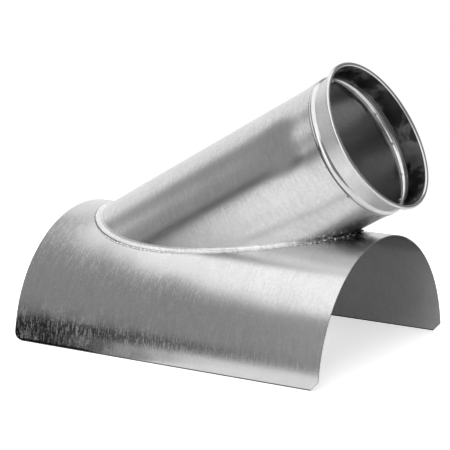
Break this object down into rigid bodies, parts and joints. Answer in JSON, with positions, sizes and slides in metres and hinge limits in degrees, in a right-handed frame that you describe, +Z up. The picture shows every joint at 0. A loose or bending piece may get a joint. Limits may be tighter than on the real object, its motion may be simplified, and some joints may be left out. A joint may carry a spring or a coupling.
{
  "type": "duct branch fitting",
  "caption": "Half-round rolled saddle plate with a slanting round branch tube that ends in a beaded, lipped collar; taps a branch duct into a round main duct.",
  "frame": {"origin": "on the floor plane under the saddle's two straight edges, at the middle of the whole fitting's length", "axes": "+X along the main duct towards the branch's mouth, +Y across the saddle, +Z up from the floor"},
  "size_m": [0.3772, 0.2526, 0.2824],
  "materials": {
    "galvanised_sheet": "zinc-coated sheet, softly mottled and lightly brushed",
    "collar_sheet": "zinc-coated sheet, brighter where it was formed",
    "seam_metal": "rippled weld metal"
  },
  "bodies": {
    "root": {"saddle_plate": "galvanised_sheet", "branch_tube": "galvanised_sheet", "lip_collar": "collar_sheet", "foot_seam": "seam_metal", "collar_tacks": "seam_metal"}
  },
  "joints": []
}
